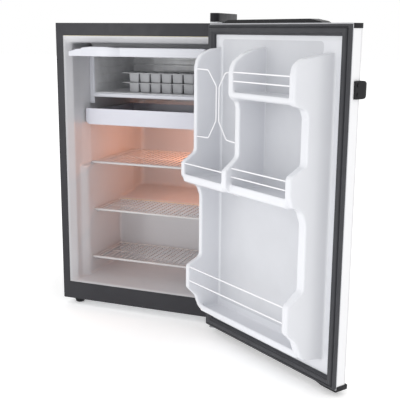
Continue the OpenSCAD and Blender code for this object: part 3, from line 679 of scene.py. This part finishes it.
def build_feet():
    """Levelling feet: a ribbed knob with a domed sole on a threaded stud."""
    for node in ("foot_front_left", "foot_front_right"):
        lo, hi = cad(node)
        r = (hi.x - lo.x) / 2
        centre = Matrix.Translation(((lo.x + hi.x) / 2, (lo.y + hi.y) / 2, lo.z))
        knob = [(r - 5, 0), (r - 3.4, 0.6), (r - 2.4, 2.5), (r - 0.6, 9), (r - 0.4, 15), (r - 1.4, 16),
                (0, 16)]
        parts = [turned(knob, 48)]
        ribs = 20
        for k in range(ribs):
            rib = block((r - 1.2, -0.8, 9.5), (r - 0.02, 0.8, 15.2))
            parts.append(moved(rib, Matrix.Rotation(2 * pi * k / ribs, 4, "Z")))
        thread = [(0, 15)]
        turns, pitch = 18, 1.35
        for k in range(turns):
            z = 15.5 + k * pitch
            thread += [(3.3, z), (3.98, z + pitch / 2)]
        thread.append((0, hi.z - lo.z))
        piece(node, moved(joined(parts), centre), CABINET, BLACK, node, (node,), angle=30)
        piece(node + "_stud", moved(turned(thread, 24), centre), CABINET, SCREW, node, (), angle=30)


# ---------------------------------------------------------------- door

BACK_T = -13.0
PANEL_T = -15.5
BASE_T = -27.0
HINGE_FIN = (40, 54)
DIVIDER = (208, 226)
FREE_FIN = (417, 434.5)
FREE_FOOT = 449
SHELL_T = -14.6
DOOR_FRONT = -45


# the fins' shared outline round the lowest bin, as (t, z, radius)
LOW_BIN = [(86, 193, 12), (86, 131, 12), (77, 122, 10), (61, 106, 14), (50, 76, 16), (40, 61, 12),
           (BASE_T, 54.5)]


def fins():
    """The upright fins: hinge side, divider, and free side with its sloping outer face."""
    hinge_side = [(BASE_T, 741), (20, 738, 40), (50, 724, 26), (61, 708, 16), (64, 690, 20), (64, 486, 14),
                  (101, 462, 12), (102, 430, 13), (91, 413, 16), (56, 397, 24), (46, 372, 26), (46, 212, 12)]
    free_side = [(BASE_T, 737), (20, 733, 40), (60, 726, 30), (80, 714, 20), (85, 698, 16), (85, 638, 12),
                 (78, 628, 12), (57, 622, 14), (48, 604, 22), (48, 502, 12), (88, 480, 12), (88, 438, 14),
                 (82, 414, 14), (58, 406, 24), (46, 374, 40), (46, 224, 12)]
    middle = [(BASE_T, 745), (20, 741, 30), (52, 730, 30), (76, 714, 20), (85, 696, 16), (85, 638, 10),
              (78, 628, 10), (68, 622, 8), (64, 608, 16), (64, 494, 12), (102, 464, 10), (102, 428, 13),
              (93, 414, 14), (60, 400, 14), (BASE_T, 394)]
    parts = [prism("x", *HINGE_FIN, hinge_side + LOW_BIN), prism("x", *DIVIDER, middle)]
    wide = prism("x", FREE_FIN[0], FREE_FOOT, free_side + LOW_BIN)
    slope = Vector((85 - BACK_T, FREE_FOOT - FREE_FIN[1], 0)).normalized()
    bmesh.ops.bisect_plane(wide, geom=wide.verts[:] + wide.edges[:] + wide.faces[:], clear_outer=True,
                           plane_co=(FREE_FOOT, BACK_T, 0), plane_no=slope)
    bmesh.ops.holes_fill(wide, edges=[e for e in wide.edges if e.is_boundary])
    bmesh.ops.recalc_face_normals(wide, faces=wide.faces)
    return parts + [wide]


def compartment_floor(u0, u1, z, depth, lip_z, under=9):
    """A floor that dips behind its raised front lip, with a rounded underside."""
    profile = [(BASE_T, z + 9), (depth - 9, z + 8, 4), (depth - 5.5, lip_z, 3), (depth, lip_z, 3.5),
               (depth, z + 2, 6), (depth - 8, z - 2, 8), (20, z - under, 30), (BASE_T, z - under)]
    return prism("x", u0 - 3, u1 + 3, profile)


def door_liner():
    """The formed liner: a panel with a shallow recess, its fins and the floors of its compartments."""
    u0, u1, z0, z1 = 5, 491, 2, 795
    left, right, low, high = 62, 408, 92, 756
    parts = [block((u0, BASE_T, z0), (u1, PANEL_T, z1)),
             block((u0, BASE_T, z0), (left, BACK_T, z1)), block((right, BASE_T, z0), (u1, BACK_T, z1)),
             block((u0, BASE_T, high), (u1, BACK_T, z1)), block((u0, BASE_T, z0), (u1, BACK_T, low))]
    parts += fins()
    parts += [compartment_floor(DIVIDER[1], FREE_FIN[0], 632, 85, 646, 6),
              compartment_floor(DIVIDER[1], FREE_FIN[0], 411, 88, 433, 4),
              compartment_floor(HINGE_FIN[1], DIVIDER[0], 413, 102, 433, 8),
              compartment_floor(HINGE_FIN[1], FREE_FIN[0], 61, 47, 79, 3)]
    return formed(parts, 2.5, 5)


def door_rails():
    """Straight retaining wires, with the CAD node and body they stand for."""
    in_u = (DIVIDER[1] - 3, FREE_FIN[0] + 3)
    low_u = (HINGE_FIN[1] - 3, FREE_FIN[0] + 3)
    can_u = (HINGE_FIN[1] - 3, DIVIDER[0] + 3)
    rows = [("upper_bin_rails", in_u, 81.5, (670, 690)), ("bottle_bin_rails", in_u, 83, (450, 470)),
            ("can_tray_rail", can_u, 97, (459,)), ("lower_bin_rails", low_u, 82, (151, 188))]
    radius = 1.6
    for node, (a, b), t, heights in rows:
        paths = [([(a, t, z), (b, t, z)], radius, 0) for z in heights]
        wires(node, paths, DOOR, WIRE, "door", (node,))
    t, (a, b) = 60, can_u
    left = [(a, t, 690), (97, t, 689), (131, t, 652), (131, t, 570), (100, t, 525), (a, t, 524)]
    right = [(b, t, 692), (166, t, 685), (142, t, 651), (142, t, 569), (172, t, 528), (b, t, 525)]
    paths = [(left, radius, 10), (right, radius, 10)]
    wires("can_wires", paths, DOOR, WIRE, "door", ("can_wires",))


def door_gasket():
    """The magnetic gasket: an outer lip, a magnet bead and an inner lip, with grooves between them."""
    profile = [(0, BACK_T), (0.2, -6), (1.2, -4.2), (3.2, -3.8), (4.8, -4.6), (5.8, -6.6), (7.2, -6.8),
               (8.2, -4.4), (9.4, -1.8), (11.2, -0.9), (14, -0.8), (16.8, -0.9), (18.4, -1.8), (19.2, -3.8),
               (20.2, -5.4), (21.6, -5.6), (22.8, -6.6), (24.2, -9.0), (24.5, BACK_T)]
    return gasket_ring(5, WIDTH - 1, -1, HEIGHT - 3.5, profile)


def door_handle():
    """A pull on the free edge: a side plate with a finger notch and a hooked grip over the door's front."""
    z0, z1, front, side = 644, 682, DOOR_FRONT, WIDTH
    reach, plate_back = 108, -22
    plan = [(side - reach, front - 18, 6), (side + 4, front - 18, 12), (side + 4, plate_back, 3),
            (side, plate_back), (side, front), (side - reach, front)]
    body = prism("z", z0, z1, plan)
    rounded = [(front - 16, z0, 15), (front - 16, z1, 15), (plate_back + 0.1, z1, 2),
               (plate_back + 0.1, z0, 2)]
    body = cut(body, prism("x", side - reach - 12, side + 10, rounded), "INTERSECT")
    hollow = block((side - reach + 4, front - 14, z0 - 5), (side - 3, front + 1, z1 - 6), 4)
    body = cut(body, hollow)
    for z in (z0 + 9, z1 - 9):
        hole = prism("x", side + 1, side + 6, [(-32 + 4.3 * cos(a), z + 4.3 * sin(a))
                                               for a in [2 * pi * k / 20 for k in range(20)]])
        body = cut(body, hole)
    return body


def door_shell():
    """Painted skin round the door's front and sides, its two front corners rounded and coloured a darker grey
    as painted shade.
    """
    z0, z1 = 4.8, HEIGHT - 12
    outer = [(0, SHELL_T), (0, DOOR_FRONT, 9), (WIDTH, DOOR_FRONT, 9), (WIDTH, SHELL_T)]
    inner = [(WIDTH - 1, SHELL_T), (WIDTH - 1, DOOR_FRONT + 1, 8), (1, DOOR_FRONT + 1, 8), (1, SHELL_T)]
    skin = prism("z", z0, z1, outer + inner)
    # Faces of the rounded corners take the second material, whose darker grey is painted shade.
    for face in skin.faces:
        face.material_index = int(min(abs(face.normal.x), abs(face.normal.y)) > 0.1)
    inset, back, front = 1.1, SHELL_T - 0.1, DOOR_FRONT + 1.1
    far = WIDTH - inset
    core = prism("z", z0, z1, [(inset, back), (inset, front, 8), (far, front, 8), (far, back)])
    return skin, core


def door_cap(z0, z1, crown=None):
    """A moulded end cap, its corners rounded, with a low crown where one is asked for."""
    plan = [(0, -14.6, 3), (0, -46, 10), (WIDTH + 1.2, -46, 10), (WIDTH + 1.2, -14, 4)]
    cap = prism("z", z0, z1, plan)
    if crown:
        cap = cut(cap, prism("y", -43.4, -16.2, crown), "UNION")
    return cap


def build_door():
    skin, core = door_shell()
    painted = piece("door_skin", skin, DOOR, DOOR_WHITE, "door", ("door_skin",), bevel=0.25,
                    segments=2)
    # The second material, a darker grey on the rounded corners, is painted shade.
    painted.data.materials.append(DOOR_EDGE_SHADE)
    piece("door_foam", core, DOOR, FOAM, "door", ("door_foam",), angle=40)
    crown = [(58, 795), (58, 803.5, 2), (72, 807.4, 6), (362, 808, 16), (394, 803, 10), (412, 795)]
    top = door_cap(HEIGHT - 12, HEIGHT - 1.5, crown)
    piece("door_cap_top", top, DOOR, BLACK, "door", ("door_cap_top",), bevel=1.6, segments=3)
    toe = [(WIDTH - 80, -4), (WIDTH - 50, -10, 20), (WIDTH + 1.1, -10, 6), (WIDTH + 1.1, 4), (WIDTH - 80, 4)]
    bottom = cut(door_cap(-6, 5), prism("y", -45.9, -14.1, toe), "UNION")
    piece("door_cap_bottom", bottom, DOOR, BLACK, "door", ("door_cap_bottom",), bevel=2.6,
          segments=4)
    piece("door_liner", door_liner(), DOOR, LINER, "door", ("door_liner",), angle=60)
    flange = block((0.5, BACK_T - 1.6, -4), (WIDTH - 0.5, BACK_T - 0.05, HEIGHT - 1), 3, "y")
    piece("liner_flange", flange, DOOR, FLANGE, "door", (), bevel=0.4)
    piece("door_gasket", door_gasket(), DOOR, GASKET, "door", ("door_gasket",), angle=50)
    door_rails()
    piece("door_handle", door_handle(), DOOR, BLACK, "door", ("door_handle",), bevel=2.4,
          segments=4)


def hinge_cover():
    """The top hinge's cover: a thin shell, open below and notched where the door's cap passes under it."""
    lo, hi = cad("hinge_top_cover")
    wall = 2
    plan = [(lo.x, lo.y, 12), (hi.x, lo.y, 12), (hi.x, hi.y, 5), (lo.x, hi.y, 5)]
    shell = prism("z", lo.z, hi.z, plan)
    a, b, c, d = lo.x + wall, hi.x - wall, lo.y + wall, hi.y - wall
    inner = [(a, c, 10), (b, c, 10), (b, d, 4), (a, d, 4)]
    shell = cut(shell, prism("z", lo.z - 1, hi.z - wall, inner))
    return cut(shell, block((lo.x - 1, lo.y - 1, lo.z - 1), (hi.x + 1, 0, lo.z + 3.2)))


# ---------------------------------------------------------------- scene

def build_stage():
    bpy.ops.mesh.primitive_plane_add(size=40, location=(0, 0, 0))
    floor = bpy.context.object
    floor.name = "floor"
    m, tree, shader, where = material("floor_pale")
    tree.links.new(ramp(tree, noise(tree, where, 0.6, 2), (0.93, 0.93, 0.93), (0.95, 0.95, 0.95)),
                   shader.inputs["Base Color"])
    shader.inputs["Roughness"].default_value = 0.9
    shader.inputs["Emission Color"].default_value = (1, 1, 1, 1)
    shader.inputs["Emission Strength"].default_value = 0.3
    floor.data.materials.append(m)


def area_light(name, at, target, size, power, colour=(1, 1, 1), spread=180):
    data = bpy.data.lights.new(name, "AREA")
    data.spread = radians(spread)
    data.shape, data.size, data.size_y = "RECTANGLE", size[0], size[1]
    data.energy, data.color = power, colour
    obj = bpy.data.objects.new(name, data)
    obj.location = at
    obj.rotation_mode = "QUATERNION"
    obj.rotation_quaternion = (Vector(target) - Vector(at)).to_track_quat("-Z", "Y")
    bpy.context.scene.collection.objects.link(obj)


def build_lights():
    world = bpy.data.worlds.new("studio")
    bpy.context.scene.world = world
    world.use_nodes = True
    back = world.node_tree.nodes["Background"]
    back.inputs["Color"].default_value = (1, 1, 1, 1)
    back.inputs["Strength"].default_value = 1.0
    area_light("key", (-1.5, -3.3, 1.0), (0.2, -0.1, 0.8), (0.2, 2.2), 11)
    area_light("panel_fill", (-0.35, -1.72, 0.6), (0.48, -0.47, 0.27), (0.25, 0.35), 0.1, spread=30)
    area_light("freezer_fill", (-0.6, -1.8, 0.73), (0, 0.1, 0.685), (0.1, 0.1), 0.03, spread=16)
    lens_lo, lens_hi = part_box("lamp_lens")
    at = Vector((lens_lo.x - 0.004, (lens_lo.y + lens_hi.y) / 2, (lens_lo.z + lens_hi.z) / 2))
    area_light("cabinet_lamp", at, at + Vector((-1, 0.15, -0.35)), (0.06, 0.04), 0.6, (1.0, 0.36, 0.16), 140)


def build_camera():
    yaw, pitch, roll = radians(21.047), radians(12.299), radians(0.399)
    ahead = Vector((-sin(yaw) * cos(pitch), cos(yaw) * cos(pitch), -sin(pitch)))
    level = Vector((cos(yaw), sin(yaw), 0))
    raised = level.cross(ahead)
    right = level * cos(roll) + raised * sin(roll)
    up = raised * cos(roll) - level * sin(roll)
    data = bpy.data.cameras.new("camera")
    data.sensor_width, data.lens = 36, 69.606
    camera = bpy.data.objects.new("camera", data)
    turn = Matrix((right, up, -ahead)).transposed().to_4x4()
    camera.matrix_world = Matrix.Translation((0.92131, -2.15588, 0.79937)) @ turn
    bpy.context.scene.collection.objects.link(camera)
    bpy.context.scene.camera = camera


bpy.context.scene.view_settings.view_transform = "Standard"
build_camera()
build_stage()
build_lights()
dress_cad()
build_cabinet()
build_feet()
build_door()
piece("hinge_top_cover", hinge_cover(), CABINET, COVER, "cabinet", ("hinge_top_cover",),
      bevel=2, segments=4)
